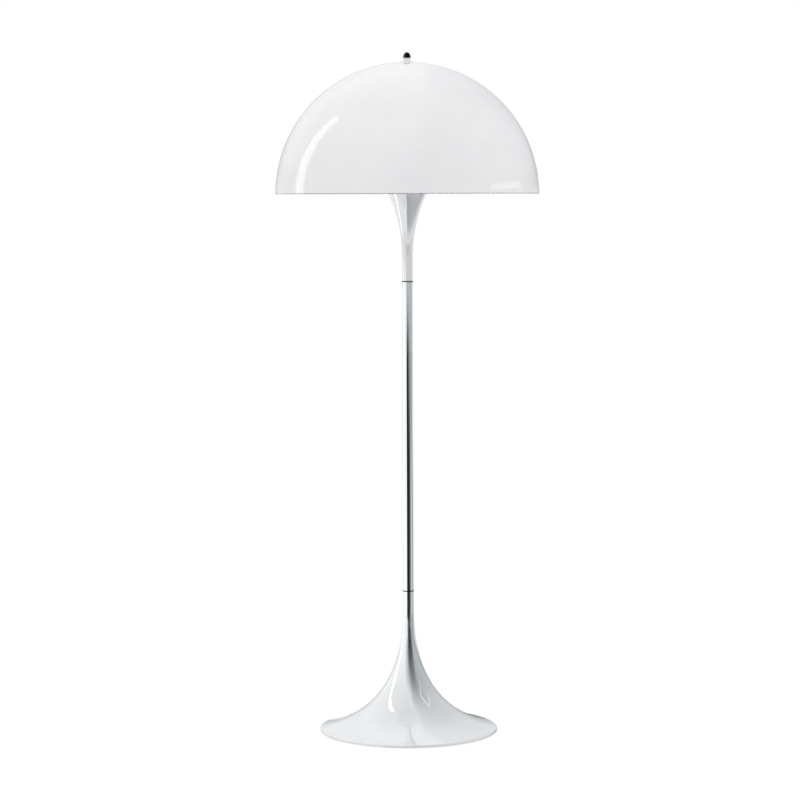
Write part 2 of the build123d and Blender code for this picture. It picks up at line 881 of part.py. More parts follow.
def dimmer_cover():
    """The lid of the dimmer, with the bush that holds the shade."""
    lid = rod(dimmer_radius, dimmer_top, dimmer_cover_top) + rod(bush_radius, dimmer_top, nut_top)
    hole = screw_hole(cover_bolt_radius, cover_bolt_head, dimmer_cover_thickness)
    for place in boss_places():
        lid -= Rot(0, 0, 90) * place * Pos(0, 0, dimmer_cover_top) * Rot(180, 0, 0) * hole
    return lid - rod(shaft_radius + slide_gap, dimmer_top, nut_top)


def dimmer_shaft():
    """The shaft that turns in the bush, with a pivot below and a flat for the knob above."""
    collar_top = dimmer_top - shaft_play
    collar_bottom = collar_top - shaft_collar_height
    pivot_bottom = shaft_bottom - pivot_length
    body = turned(
        (0, pivot_bottom),
        (pivot_radius, pivot_bottom),
        (pivot_radius, shaft_bottom),
        (shaft_radius, shaft_bottom),
        (shaft_radius, collar_bottom),
        (shaft_collar_radius, collar_bottom),
        (shaft_collar_radius, collar_top),
        (shaft_radius, collar_top),
        (shaft_radius, shaft_top),
        (0, shaft_top),
    )
    return body - flat_cutter(0)


def flat_cutter(gap):
    """The side of the shaft's tip that is cut away, less a gap."""
    return Pos(0, shaft_radius - shaft_flat + gap, knob_bottom) * Box(
        4 * shaft_radius,
        2 * shaft_radius,
        knob_shaft_depth,
        align=(Align.CENTER, Align.MIN, Align.MIN),
    )


def dimmer_wiper():
    """The wiper on the shaft: a hub with a lug that meets the stop and rides the track."""
    hub = rod(wiper_hub_radius, lug_bottom, lug_top)
    hub += wedge(stop_lug_radius, stop_lug_angle, lug_bottom, lug_top)
    shoe = Pos(track_radius, 0, 0) * rod(wiper_shoe, lug_bottom - wiper_shoe, lug_bottom)
    wiper = hub + shoe - rod(shaft_radius + knob_bore_gap, lug_bottom, lug_top)
    return Rot(0, 0, -lug_start) * wiper


def knob():
    """The black knob: a domed cap on a thin skirt, bored for the shaft."""
    shoulder = knob_bottom + knob_skirt_height
    dome = at(knob_radius, shoulder)
    crown = at(0, knob_top)
    body = spun(
        Line(at(0, knob_bottom), at(knob_skirt_radius, knob_bottom)),
        Line(at(knob_skirt_radius, knob_bottom), at(knob_skirt_radius, shoulder - knob_skirt_height / 2)),
        Line(at(knob_skirt_radius, shoulder - knob_skirt_height / 2), dome),
        Bezier(dome, at(knob_radius, shoulder + knob_height / 2), at(knob_radius / 2, knob_top), crown),
        Line(crown, at(0, knob_bottom)),
    )
    bore = rod(shaft_radius + knob_bore_gap, knob_bottom, shaft_top)
    body -= bore - flat_cutter(knob_bore_gap)
    return body - grub_hole(slide_gap)


def grub_hole(gap):
    """The space of the grub screw that clamps the knob on the shaft's flat."""
    reach = Pos(0, shaft_radius - shaft_flat + knob_bore_gap, knob_bottom + grub_height)
    return reach * Rot(-90, 0, 0) * Cylinder(grub_radius + gap, knob_radius, align=UPRIGHT)


def knob_screw():
    """The grub screw, with a slot across its outer end."""
    length = knob_radius - shaft_radius
    screw_place = Pos(0, shaft_radius - shaft_flat + knob_bore_gap, knob_bottom + grub_height)
    body = Cylinder(grub_radius, length, align=UPRIGHT)
    body -= Pos(0, 0, length) * Box(2 * grub_radius, grub_radius / 3, grub_radius)
    return screw_place * Rot(-90, 0, 0) * body


dimmer_screw = Rot(180, 0, 0) * screw(cover_bolt_radius, cover_bolt_head, cover_bolt_length)
save("dimmer_cup", dimmer_cup())
save("dimmer_board", dimmer_board())
save("dimmer_cover", dimmer_cover())
save(
    "dimmer_screws",
    Compound(
        [
            Rot(0, 0, 90) * place * Pos(0, 0, dimmer_cover_top) * dimmer_screw.solid()
            for place in boss_places()
        ]
    ),
)
save("dimmer_shaft", dimmer_shaft())
save("dimmer_wiper", dimmer_wiper())
save("knob", knob())
save("knob_screw", knob_screw())

lead_length = block_distance - lead_bend + pi / 2 * lead_bend
lead_length += dimmer_floor_top - (cover_top + cord_channel_height - block_height / 2) - lead_bend
print("supply lead length", round(lead_length), "mm, bend radius", lead_bend, "mm")
print("height", round(knob_top, 1), "mm")
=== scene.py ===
# %% [markdown]
# # A mushroom floor lamp, dressed for the camera
#
# The lamp is a white trumpet foot, a chrome pole, a white trumpet reflector and an opal dome.
# Its rigid parts arrive as a fixed frame, already at their real size in metres, so this file
# only gives them their finishes, adds the small turned and moulded detail that shows close
# up, and builds a plain studio round them.

# %% Load the frame and keep its size
import math

import bmesh
import bpy
from mathutils import Matrix, Vector


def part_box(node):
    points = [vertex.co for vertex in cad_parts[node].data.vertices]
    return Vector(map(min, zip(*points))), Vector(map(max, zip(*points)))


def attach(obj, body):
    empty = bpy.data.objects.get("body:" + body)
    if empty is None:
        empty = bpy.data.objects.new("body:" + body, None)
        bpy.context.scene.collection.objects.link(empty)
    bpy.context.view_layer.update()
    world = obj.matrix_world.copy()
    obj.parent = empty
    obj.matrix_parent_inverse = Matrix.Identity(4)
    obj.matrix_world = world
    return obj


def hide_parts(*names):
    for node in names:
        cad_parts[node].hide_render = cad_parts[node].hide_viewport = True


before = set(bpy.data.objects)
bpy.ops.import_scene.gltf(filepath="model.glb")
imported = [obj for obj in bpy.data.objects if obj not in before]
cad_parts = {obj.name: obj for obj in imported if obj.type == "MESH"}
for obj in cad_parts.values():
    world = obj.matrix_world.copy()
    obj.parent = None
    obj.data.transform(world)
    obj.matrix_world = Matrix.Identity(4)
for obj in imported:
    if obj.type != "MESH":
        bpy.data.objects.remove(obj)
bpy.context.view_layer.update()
print("nodes in the frame:", len(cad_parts))

# %% [markdown]
# ## Colours
#
# A colour picked from a paint chart or a picture is sRGB, but a shader works with linear
# light. One function turns a hex value into linear numbers, so every colour below can be
# written the way a maker would quote it.


# %% sRGB hex to linear
def linear(hex_colour):
    values = [int(hex_colour[i:i + 2], 16) / 255 for i in (1, 3, 5)]
    return [v / 12.92 if v <= 0.04045 else ((v + 0.055) / 1.055) ** 2.4 for v in values] + [1.0]


print("mid grey in linear light:", round(linear("#808080")[0], 3))

# %% [markdown]
# ## Adding a node
#
# Materials are small graphs. One helper makes a node, sets its properties and its input
# values, and plugs in what feeds it, so each material reads as a list of steps.


# %% One helper for every node
def node(tree, kind, inputs=None, **settings):
    made = tree.nodes.new(kind)
    for name, value in settings.items():
        setattr(made, name, value)
    for name, value in (inputs or {}).items():
        if isinstance(value, bpy.types.NodeSocket):
            tree.links.new(value, made.inputs[name])
        else:
            made.inputs[name].default_value = value
    return made


# %% [markdown]
# A colour ramp's stops are set after its node is made. Each stop here is a place along the
# ramp and a colour, so a brightness curve or a fade can be written as a short list.


# %% Setting a ramp's stops
def set_stops(made, stops):
    line = made.color_ramp
    while len(line.elements) > 1:
        line.elements.remove(line.elements[-1])
    for i, (place, colour) in enumerate(stops):
        stop = line.elements[0] if i == 0 else line.elements.new(place)
        stop.position = place
        stop.color = colour
    return made.outputs["Color"]


def grey(level):
    return (level, level, level, 1.0)


# %% [markdown]
# ## Camera
#
# The photograph was taken from about 4.8 m away, with the lens level with the shade's rim:
# the rim shows edge on, as one straight line. The camera looks down a little, so that the
# foot stays in the picture, and a long lens keeps the pole's sides parallel.

# %% Camera
IMAGE_SIDE = 800
SENSOR = 36.0
FOCAL_PIXELS = 2530.7
CAMERA_DISTANCE = 4.817
RIM_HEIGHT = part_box("shade")[0][2]
PITCH = math.radians(-4.654)
YAW = math.radians(0.177)  # the lamp stands a little right of the picture's middle
ROLL = math.radians(-0.17)

camera_data = bpy.data.cameras.new("camera")
camera_data.sensor_width = SENSOR
camera_data.lens = FOCAL_PIXELS * SENSOR / IMAGE_SIDE
camera = bpy.data.objects.new("camera", camera_data)
bpy.context.scene.collection.objects.link(camera)
aim = Matrix.Rotation(YAW, 4, "Z") @ Matrix.Rotation(math.pi / 2 + PITCH, 4, "X")
camera.matrix_world = (
    Matrix.Translation((0, -CAMERA_DISTANCE, RIM_HEIGHT)) @ aim @ Matrix.Rotation(ROLL, 4, "Z")
)
bpy.context.scene.camera = camera
bpy.context.scene.view_settings.view_transform = "Standard"
print("camera height", round(RIM_HEIGHT, 4), "lens", round(camera_data.lens, 1), "mm")

# %% [markdown]
# ## Starting a material
#
# Every material starts as an empty graph and ends in one output. These two steps wrap that.


# %% Starting and ending a material
def new_material(name):
    made = bpy.data.materials.new(name)
    made.use_nodes = True
    made.node_tree.nodes.clear()
    return made


def finish_with(tree, shader):
    node(tree, "ShaderNodeOutputMaterial", {"Surface": shader.outputs[0]})


# %% [markdown]
# ## Floor
#
# The lamp stands on a white studio floor that runs into a white background. The floor shows
# the camera mostly its own white and lets a little real shading through, so the foot keeps
# its soft shadow and the rest melts into the background. It is a small disc: the pole's
# mirror sees past its edge to the studio's walls, as it does in the photograph.
#
# The floor and the world both ask where a ray comes from: straight from the camera or through
# something clear, or from a mirror. The floor shows both the same white. The world shows the
# first plain white and the second a room.


# %% Two kinds of ray
def ray_kinds(tree):
    """Gives a socket that is 1 for rays from the camera, and one that is 1 for mirrored rays."""
    rays = node(tree, "ShaderNodeLightPath")
    direct = node(
        tree,
        "ShaderNodeMath",
        {0: rays.outputs["Is Camera Ray"], 1: rays.outputs["Is Transmission Ray"]},
        operation="MAXIMUM",
    )
    return direct.outputs[0], rays.outputs["Is Glossy Ray"]


# %% Floor
FLOOR_RADIUS, FLOOR_SIDES = 1.3, 96
FLOOR_SHADOW = 0.25  # how much of the real shading the camera sees
FLOOR_WHITE = 1.08  # so that open floor comes out as plain white

bpy.ops.mesh.primitive_circle_add(vertices=FLOOR_SIDES, radius=FLOOR_RADIUS, fill_type="NGON")
floor = bpy.context.object
floor.name = "floor"
floor_paint = new_material("matt pale studio floor")
tree = floor_paint.node_tree
shaded = node(tree, "ShaderNodeBsdfDiffuse", {"Color": linear("#e8e8e8")})
glow = node(tree, "ShaderNodeEmission", {"Color": grey(1), "Strength": FLOOR_WHITE})
direct, mirrored = ray_kinds(tree)
seen = node(tree, "ShaderNodeMath", {0: direct, 1: mirrored}, operation="MAXIMUM")
share = node(
    tree, "ShaderNodeMath", {0: seen.outputs[0], 1: 1 - FLOOR_SHADOW}, operation="MULTIPLY"
)
mixed = node(
    tree, "ShaderNodeMixShader", {0: share.outputs[0], 1: shaded.outputs[0], 2: glow.outputs[0]}
)
finish_with(tree, mixed)
floor.data.materials.append(floor_paint)
print("floor radius", FLOOR_RADIUS, "m")

# %% [markdown]
# ## The room, as a mirror sees it
#
# A mirror-bright pole shows whatever stands round it. In the photograph its left half is
# white, a line down its middle is nearly black, and its right half runs from mid grey to
# light grey. The foot shows the same room from lower down: a big dark panel on the right,
# white on the left and overhead. The world paints that room by direction, for reflections
# only. The camera sees plain white, and a soft even light does the lighting.


# %% World: directions
def turn_of(tree, rightward, forward):
    """Gives a direction's bearing, as 0 at -180 degrees to 1 at 180 degrees."""
    bearing = node(tree, "ShaderNodeMath", {0: rightward, 1: forward}, operation="ARCTAN2")
    turn = node(
        tree,
        "ShaderNodeMapRange",
        {"Value": bearing.outputs[0], "From Min": -math.pi, "From Max": math.pi},
    )
    return turn.outputs["Result"]


world = bpy.data.worlds.new("studio")
bpy.context.scene.world = world
world.use_nodes = True
tree = world.node_tree
tree.nodes.clear()

where = node(tree, "ShaderNodeTexCoord")
xyz = node(tree, "ShaderNodeSeparateXYZ", {0: where.outputs["Generated"]})
right, back, up = (xyz.outputs[axis] for axis in "XYZ")
toward = node(tree, "ShaderNodeMath", {0: back, 1: -1.0}, operation="MULTIPLY")
turn = turn_of(tree, right, toward.outputs[0])

# %% [markdown]
# A bearing of 0 is the camera's side of the room, and positive bearings are on the right.
# The ramps hold a brightness as a share of the room's brightest wall. What is white stays
# neutral, and the darker a surface is, the cooler it looks.

# %% World: paint
ROOM_PEAK = 1.5  # radiance of the brightest wall
LESS_RED, MORE_BLUE = 0.10, 0.07  # how far black paint leaves neutral


def wall(level):
    share = level / ROOM_PEAK
    shade = max(0.0, 1.0 - level)
    return (share * (1 - LESS_RED * shade), share, share * (1 + MORE_BLUE * shade), 1.0)


def painted(stops, paint=wall):
    """Turns (place, level) pairs into a ramp's stops."""
    return [(place, paint(level)) for place, level in stops]


def round_the_room(stops, paint=wall):
    """Turns (bearing in degrees, level) pairs into a ramp's stops."""
    return painted([(0.5 + bearing / 360, level) for bearing, level in stops], paint)


# %% [markdown]
# The room changes with height in a few soft steps. A direction's height is its upward share:
# 0 is level, 1 is straight up and -1 straight down.

# %% World: steps in height
STEPS = {  # each runs from 0 at its first height to 1 at its second
    "skirting": (-0.125, -0.085),
    "lens level": (-0.02, 0.05),
    "lintel": (-0.035, -0.068),
    "doorstep": (-0.165, -0.20),
    "high walls": (0.06, 0.24),
}
step = {}
for name, (begin, finish) in STEPS.items():
    made = node(
        tree,
        "ShaderNodeMapRange",
        {"Value": up, "From Min": begin, "From Max": finish},
        interpolation_type="SMOOTHSTEP",
    )
    step[name] = made.outputs["Result"]
print("steps in height:", ", ".join(STEPS))

# %% [markdown]
# Three bands of wall follow each other upwards: the skirting, the wall's foot and its middle.
# Each list says how bright its band is at a few bearings: white on the left, dark on the
# camera's side, and between the two on the right and at the back.

# %% World: the low walls, by bearing
SKIRTING = [
    (-180, 0.45), (-168, 0.6), (-150, 1.3), (-40, 1.4), (-22, 1.2), (-14, 0.5), (25, 0.35),
    (48, 0.4), (70, 0.9), (95, 0.7), (118, 0.55), (155, 0.6), (168, 0.4), (180, 0.45),
]
WALL_FOOT = [
    (-180, 0.45), (-168, 0.6), (-150, 1.2), (-40, 1.3), (-22, 1.1), (-14, 0.6), (30, 0.7),
    (62, 0.7), (78, 0.42), (95, 0.42), (115, 1.05), (150, 1.0), (168, 0.4), (180, 0.45),
]
WALL_MIDDLE = [
    (-180, 0.45), (-168, 0.5), (-150, 0.9), (-125, 1.0), (-95, 1.25), (-40, 1.3), (-22, 1.1),
    (-12, 0.6), (25, 0.4), (50, 0.5), (80, 0.54), (115, 0.54), (132, 0.38), (168, 0.35),
    (180, 0.45),
]
skirting, wall_foot, wall_middle = (
    set_stops(node(tree, "ShaderNodeValToRGB", {"Fac": turn}), round_the_room(stops))
    for stops in (SKIRTING, WALL_FOOT, WALL_MIDDLE)
)
below_lens = node(
    tree,
    "ShaderNodeMix",
    {"Factor": step["skirting"], 6: skirting, 7: wall_foot},
    data_type="RGBA",
)
walls = node(
    tree,
    "ShaderNodeMix",
    {"Factor": step["lens level"], 6: below_lens.outputs[2], 7: wall_middle},
    data_type="RGBA",
)
print("bearings in the low walls:", len(SKIRTING) + len(WALL_FOOT) + len(WALL_MIDDLE))

# %% [markdown]
# The dark line down the pole's middle is a doorway into an unlit room, straight in front of
# the lamp. The pole looks down on it a little, and less so from higher up, so the line fades
# out at the pole's top. Below the doorway lies the far floor, white on the left and dark on
# the right, which the reflector's neck shows.
#
# The line leans to the right as it climbs the foot: shearing the direction before its bearing
# is taken makes whatever is drawn by that bearing lean.

# %% World: the dark doorway
LEAN_RIGHT = 0.41  # how far the dark shapes go right for each metre that they climb
DOORWAY = [(-26, 0), (-18, 1), (8, 1), (22, 0.65), (50, 0.35), (70, 0)]  # how solid the dark is
RIGHT_SIDE = [(-12, 0), (0, 1), (135, 1), (150, 0)]  # where the far floor is dark
FAR_FLOOR_LIGHT = 1.3
FAR_FLOOR_NEAR, FAR_FLOOR_FAR = -0.7, -0.2  # the heights at which the dark part's ramp ends
FAR_FLOOR_DARK = [(0.0, 0.2), (0.4, 0.2), (0.6, 0.32), (0.76, 0.62), (1.0, 1.25)]

sheared = node(
    tree, "ShaderNodeMath", {0: up, 1: -LEAN_RIGHT, 2: right}, operation="MULTIPLY_ADD"
)
leaning_turn = turn_of(tree, sheared.outputs[0], toward.outputs[0])
doorway = set_stops(
    node(tree, "ShaderNodeValToRGB", {"Fac": leaning_turn}), round_the_room(DOORWAY, grey)
)
open_door = node(tree, "ShaderNodeMath", {0: doorway, 1: step["lintel"]}, operation="MULTIPLY")
around_door = node(
    tree,
    "ShaderNodeMix",
    {"Factor": open_door.outputs[0], 6: walls.outputs[2], 7: grey(0)},
    data_type="RGBA",
)
far_floor_height = node(
    tree,
    "ShaderNodeMapRange",
    {"Value": up, "From Min": FAR_FLOOR_NEAR, "From Max": FAR_FLOOR_FAR},
)
dark_floor = set_stops(
    node(tree, "ShaderNodeValToRGB", {"Fac": far_floor_height.outputs["Result"]}),
    painted(FAR_FLOOR_DARK),
)
on_right = set_stops(
    node(tree, "ShaderNodeValToRGB", {"Fac": turn}), round_the_room(RIGHT_SIDE, grey)
)
far_floor = node(
    tree,
    "ShaderNodeMix",
    {"Factor": on_right, 6: wall(FAR_FLOOR_LIGHT), 7: dark_floor},
    data_type="RGBA",
)
low_walls = node(
    tree,
    "ShaderNodeMix",
    {"Factor": step["doorstep"], 6: around_door.outputs[2], 7: far_floor.outputs[2]},
    data_type="RGBA",
)
print("doorway:", DOORWAY[-1][0] - DOORWAY[0][0], "degrees wide, with its soft edges")

# %% [markdown]
# Higher up, a tall dark panel stands on the right. Seen from the lamp, its top edge is where
# the height of a direction is a fixed multiple of its reach to the right. The camera's side
# of the room is dark as well, in a band that leans like the doorway, and it lightens towards
# the ceiling. A last ramp, by height alone, caps the brightness, so that all walls end in the
# ceiling's light grey.

# %% World: the high walls
STEEPEST = 12.0  # the multiple at which the panel's ramp ends
LEAST_REACH = 0.001  # so that nothing on the left is divided by zero or less
PANEL = [
    (0.0, 0.62), (0.02, 0.62), (0.035, 0.52), (0.067, 0.42), (0.092, 0.22), (0.17, 0.15),
    (0.30, 0.3), (0.58, 0.8), (1.0, 1.5),
]
FAR_SIDE = [(-180, 0.9), (-140, 0), (135, 0), (155, 0.4), (170, 0.6), (180, 0.9)]
NEAR_CAMERA = [
    (-180, 0.85), (-152, 0.95), (-120, 1.5), (-55, 1.5), (-34, 1.0), (-20, 0.65), (-7, 0.25),
    (0, 0.1), (18, 0.05), (30, 0.12), (40, 0.28), (50, 0.47), (75, 0.7), (110, 1.5), (150, 1.0),
    (180, 0.85),
]
UP_FRONT = [(0.6, 0.05), (0.76, 0.1), (0.86, 0.24), (0.95, 0.6), (1.0, 0.78)]  # by height
CEILING = [(0.2, 1.3), (0.5, 1.2), (0.76, 1.07), (0.86, 0.98), (1.0, 0.78)]  # by height

rightward = node(tree, "ShaderNodeMath", {0: right, 1: LEAST_REACH}, operation="MAXIMUM")
multiple = node(tree, "ShaderNodeMath", {0: up, 1: rightward.outputs[0]}, operation="DIVIDE")
steepness = node(
    tree,
    "ShaderNodeMapRange",
    {"Value": multiple.outputs[0], "From Min": 0.0, "From Max": STEEPEST},
)
panel, far_side, near_camera, up_front, ceiling = (
    set_stops(node(tree, "ShaderNodeValToRGB", {"Fac": driver}), stops)
    for driver, stops in (
        (steepness.outputs["Result"], painted(PANEL)),
        (turn, round_the_room(FAR_SIDE)),
        (leaning_turn, round_the_room(NEAR_CAMERA)),
        (up, painted(UP_FRONT)),
        (up, painted(CEILING)),
    )
)
side_and_far, front = (
    node(
        tree,
        "ShaderNodeMix",
        {"Factor": 1.0, 6: one, 7: other},
        data_type="RGBA",
        blend_type="LIGHTEN",
    )
    for one, other in ((panel, far_side), (near_camera, up_front))
)
darker = node(
    tree,
    "ShaderNodeMix",
    {"Factor": 1.0, 6: side_and_far.outputs[2], 7: front.outputs[2]},
    data_type="RGBA",
    blend_type="DARKEN",
)
high_walls = node(
    tree,
    "ShaderNodeMix",
    {"Factor": 1.0, 6: darker.outputs[2], 7: ceiling},
    data_type="RGBA",
    blend_type="DARKEN",
)
room = node(
    tree,
    "ShaderNodeMix",
    {"Factor": step["high walls"], 6: low_walls.outputs[2], 7: high_walls.outputs[2]},
    data_type="RGBA",
)
print("nodes that paint the room:", len(tree.nodes))

# %% [markdown]
# The soft light comes from all round: brightest overhead, weaker along the walls, and back up
# from the floor. It is a touch stronger from the right. The dome keeps its shape by it without
# a hard shadow.

# %% World: light and background
SOFT_BELOW, SOFT_LEVEL, SOFT_ABOVE = 0.83, 0.52, 1.31
SOFT_RIGHT = 0.05  # extra light per unit of direction to the right
BELOW_ENDS, LEVEL_AT = 0.46, 0.52  # where 0 is straight down and 1 is straight up

height_share = node(
    tree, "ShaderNodeMapRange", {"Value": up, "From Min": -1.0, "From Max": 1.0}
)
soft_by_height = set_stops(
    node(tree, "ShaderNodeValToRGB", {"Fac": height_share.outputs["Result"]}),
    [
        (BELOW_ENDS, grey(SOFT_BELOW / SOFT_ABOVE)),
        (LEVEL_AT, grey(SOFT_LEVEL / SOFT_ABOVE)),
        (1.0, grey(1.0)),
    ],
)
soft_to_right = node(
    tree, "ShaderNodeMath", {0: right, 1: SOFT_RIGHT, 2: 1.0}, operation="MULTIPLY_ADD"
)
soft_strength = node(
    tree, "ShaderNodeMath", {0: soft_to_right.outputs[0], 1: SOFT_ABOVE}, operation="MULTIPLY"
)
soft_light = node(
    tree,
    "ShaderNodeBackground",
    {"Color": soft_by_height, "Strength": soft_strength.outputs[0]},
)
mirror_light = node(
    tree, "ShaderNodeBackground", {"Color": room.outputs[2], "Strength": ROOM_PEAK}
)
backdrop = node(tree, "ShaderNodeBackground", {"Color": grey(1), "Strength": 1.0})
direct, mirrored = ray_kinds(tree)
reflected = node(
    tree,
    "ShaderNodeMixShader",
    {0: mirrored, 1: soft_light.outputs[0], 2: mirror_light.outputs[0]},
)
final = node(
    tree, "ShaderNodeMixShader", {0: direct, 1: reflected.outputs[0], 2: backdrop.outputs[0]}
)
node(tree, "ShaderNodeOutputWorld", {"Surface": final.outputs[0]})
print("soft light", SOFT_LEVEL, "brightest wall", ROOM_PEAK)

# %% [markdown]
# ## The black card
#
# The foot shows a second dark shape, which ends some 40 degrees up and leans to the right
# like the band above it. A black card in front of the lamp gives its lower part. It is
# slanted by the same amount, solid up to knee height, and it fades out above: where it
# fades, its material mixes the black with nothing at all. Only mirrors see it, and it casts
# no shadow.


# %% A sheet that only mirrors see
def mirrored_sheet(name, corners, material):
    mesh = bpy.data.meshes.new(name)
    mesh.from_pydata(corners, [], [(0, 1, 2, 3)])
    mesh.materials.append(material)
    sheet = bpy.data.objects.new(name, mesh)
    bpy.context.scene.collection.objects.link(sheet)
    sheet.visible_camera = False
    sheet.visible_diffuse = False
    sheet.visible_shadow = False
    sheet.visible_transmission = False
    return sheet


# %% Black card
CARD_DISTANCE = 0.9
CARD_LEFT, CARD_RIGHT = -0.24, 0.95
CARD_DARK_LEFT, CARD_DARK_RIGHT = -0.05, 0.24  # between these the card is solid
CARD_THINNING = 0.12  # the reach of the change next to the solid part and at the right end
CARD_FAIRLY_SOLID, CARD_THIN = 0.72, 0.45  # how solid it is right of the solid part
CARD_SOLID_HEIGHT, CARD_TOP = 0.40, 0.68
CARD_PAINTED_GLOW = 0.03  # what the flock gives back


def along_card(x):
    return (x - CARD_LEFT) / (CARD_RIGHT - CARD_LEFT)


black_flock = new_material("black flocked card")
tree = black_flock.node_tree
where = node(tree, "ShaderNodeTexCoord")
xyz = node(tree, "ShaderNodeSeparateXYZ", {0: where.outputs["Object"]})
upright = node(
    tree,
    "ShaderNodeMath",
    {0: xyz.outputs["Z"], 1: -LEAN_RIGHT, 2: xyz.outputs["X"]},
    operation="MULTIPLY_ADD",
)
across = node(
    tree,
    "ShaderNodeMapRange",
    {"Value": upright.outputs[0], "From Min": CARD_LEFT, "From Max": CARD_RIGHT},
)
solid_across = set_stops(
    node(tree, "ShaderNodeValToRGB", {"Fac": across.outputs["Result"]}),
    [
        (0.0, grey(0)),
        (along_card(CARD_DARK_LEFT), grey(1)),
        (along_card(CARD_DARK_RIGHT), grey(1)),
        (along_card(CARD_DARK_RIGHT + CARD_THINNING), grey(CARD_FAIRLY_SOLID)),
        (along_card(CARD_RIGHT - CARD_THINNING), grey(CARD_THIN)),
        (1.0, grey(0)),
    ],
)
solid_up = node(
    tree,
    "ShaderNodeMapRange",
    {"Value": xyz.outputs["Z"], "From Min": CARD_TOP, "From Max": CARD_SOLID_HEIGHT},
    interpolation_type="SMOOTHSTEP",
)
solid = node(
    tree,
    "ShaderNodeMath",
    {0: solid_across, 1: solid_up.outputs["Result"]},
    operation="MULTIPLY",
)
clear = node(tree, "ShaderNodeBsdfTransparent")
# The card is not lit: its faint brightness is a painted glow, standing in for the little light that
# black flock reflects.
flock = node(tree, "ShaderNodeEmission", {"Color": grey(1), "Strength": CARD_PAINTED_GLOW})
flocked = node(
    tree, "ShaderNodeMixShader", {0: solid.outputs[0], 1: clear.outputs[0], 2: flock.outputs[0]}
)
finish_with(tree, flocked)

card = mirrored_sheet(
    "black_card",
    [
        (CARD_LEFT, -CARD_DISTANCE, 0.0),
        (CARD_RIGHT, -CARD_DISTANCE, 0.0),
        (CARD_RIGHT + LEAN_RIGHT * CARD_TOP, -CARD_DISTANCE, CARD_TOP),
        (CARD_LEFT + LEAN_RIGHT * CARD_TOP, -CARD_DISTANCE, CARD_TOP),
    ],
    black_flock,
)
print("card", CARD_RIGHT - CARD_LEFT, "by", CARD_TOP, "m")

# %% [markdown]
# Just below the shade the reflector's neck leans out so far that it mirrors the floor close
# by. There the photograph shows bright floor on the left and something dark on the right, with
# a sharp edge between them. A black velvet cloth on the floor does that, again for mirrors
# only. Velvet still gives back a little light, so the neck shows it as dark grey.

# %% Black cloth on the floor
CLOTH_LEFT, CLOTH_RIGHT = -0.05, 1.2
CLOTH_FRONT, CLOTH_BACK = -1.2, 1.1
CLOTH_HEIGHT = 0.001
CLOTH_PAINTED_GLOW = 0.2  # what the velvet gives back

velvet = new_material("black velvet")
tree = velvet.node_tree
# The cloth is not lit: its dark grey is a painted glow, standing in for the little light that
# velvet reflects.
finish_with(tree, node(tree, "ShaderNodeEmission", {"Color": grey(1), "Strength": CLOTH_PAINTED_GLOW}))

cloth = mirrored_sheet(
    "black_cloth",
    [
        (CLOTH_LEFT, CLOTH_FRONT, CLOTH_HEIGHT),
        (CLOTH_RIGHT, CLOTH_FRONT, CLOTH_HEIGHT),
        (CLOTH_RIGHT, CLOTH_BACK, CLOTH_HEIGHT),
        (CLOTH_LEFT, CLOTH_BACK, CLOTH_HEIGHT),
    ],
    velvet,
)
print("cloth", CLOTH_RIGHT - CLOTH_LEFT, "by", round(CLOTH_BACK - CLOTH_FRONT, 3), "m")

# %% [markdown]
# ## Strip light
#
# A narrow strip light stands upright at the left, close to the lamp, from the floor to
# nearly two metres. It draws the long curved streak on the dome and the thin ones on both
# trumpets. It is there for its reflection, so only mirrors see it.


# %% Strip light
def strip_light(name, place, target, width, tall, radiance):
    data = bpy.data.lights.new(name, "AREA")
    data.shape = "RECTANGLE"
    data.size = width
    data.size_y = tall
    data.energy = radiance * math.pi * width * tall
    strip = bpy.data.objects.new(name, data)
    strip.location = place
    strip.rotation_euler = (Vector(target) - Vector(place)).to_track_quat("-Z", "Y").to_euler()
    strip.visible_camera = False
    strip.visible_diffuse = False
    bpy.context.scene.collection.objects.link(strip)


STRIP_X, STRIP_Y = -0.77, 0.03
STRIP_STEP, STRIP_TOP = 1.0, 1.90  # above the step it is wider and less bright
for part, low, high, width, radiance in (
    ("lower strip light", 0.0, STRIP_STEP, 0.07, 3.0),
    ("upper strip light", STRIP_STEP, STRIP_TOP, 0.14, 2.3),
):
    middle = (low + high) / 2
    strip_light(part, (STRIP_X, STRIP_Y, middle), (0, STRIP_Y, middle), width, high - low, radiance)
print("strip light", STRIP_TOP, "m tall,", -STRIP_X, "m to the left")

# %% [markdown]
# On the right a faint frame leaves a loop of light in the foot: two upright edges and the bar
# that joins them at the top. It too is only there for the mirrors.

# %% Faint frame
FRAME_X = 0.77
FRAME_NEAR, FRAME_FAR = -0.33, 0.13
FRAME_BOTTOM, FRAME_TOP = 0.68, 1.10
EDGE_WIDTH, EDGE_RADIANCE = 0.022, 1.5
frame_tall = FRAME_TOP - FRAME_BOTTOM
frame_centre = (FRAME_BOTTOM + FRAME_TOP) / 2
frame_middle = (FRAME_NEAR + FRAME_FAR) / 2
for part, y, z, width, tall_by in (
    ("near edge of the frame", FRAME_NEAR, frame_centre, EDGE_WIDTH, frame_tall),
    ("far edge of the frame", FRAME_FAR, frame_centre, EDGE_WIDTH, frame_tall),
    ("top bar of the frame", frame_middle, FRAME_TOP, FRAME_FAR - FRAME_NEAR, 2 * EDGE_WIDTH),
):
    strip_light(part, (FRAME_X, y, z), (0, y, z), width, tall_by, EDGE_RADIANCE)
print("frame", round(FRAME_FAR - FRAME_NEAR, 3), "by", round(frame_tall, 3), "m")

# %% [markdown]
# ## Surface detail
#
# Real surfaces are never quite even. Most finishes here start from a grain, whose real size
# is in millimetres, and use it for one of three things: a tint that wanders between two
# colours, a roughness that wanders between two values, or a fine relief.

# %% Patterns with a size in millimetres
MM = 0.001
NOISE_LOW, NOISE_HIGH = 0.35, 0.65  # a noise pattern seldom leaves this range


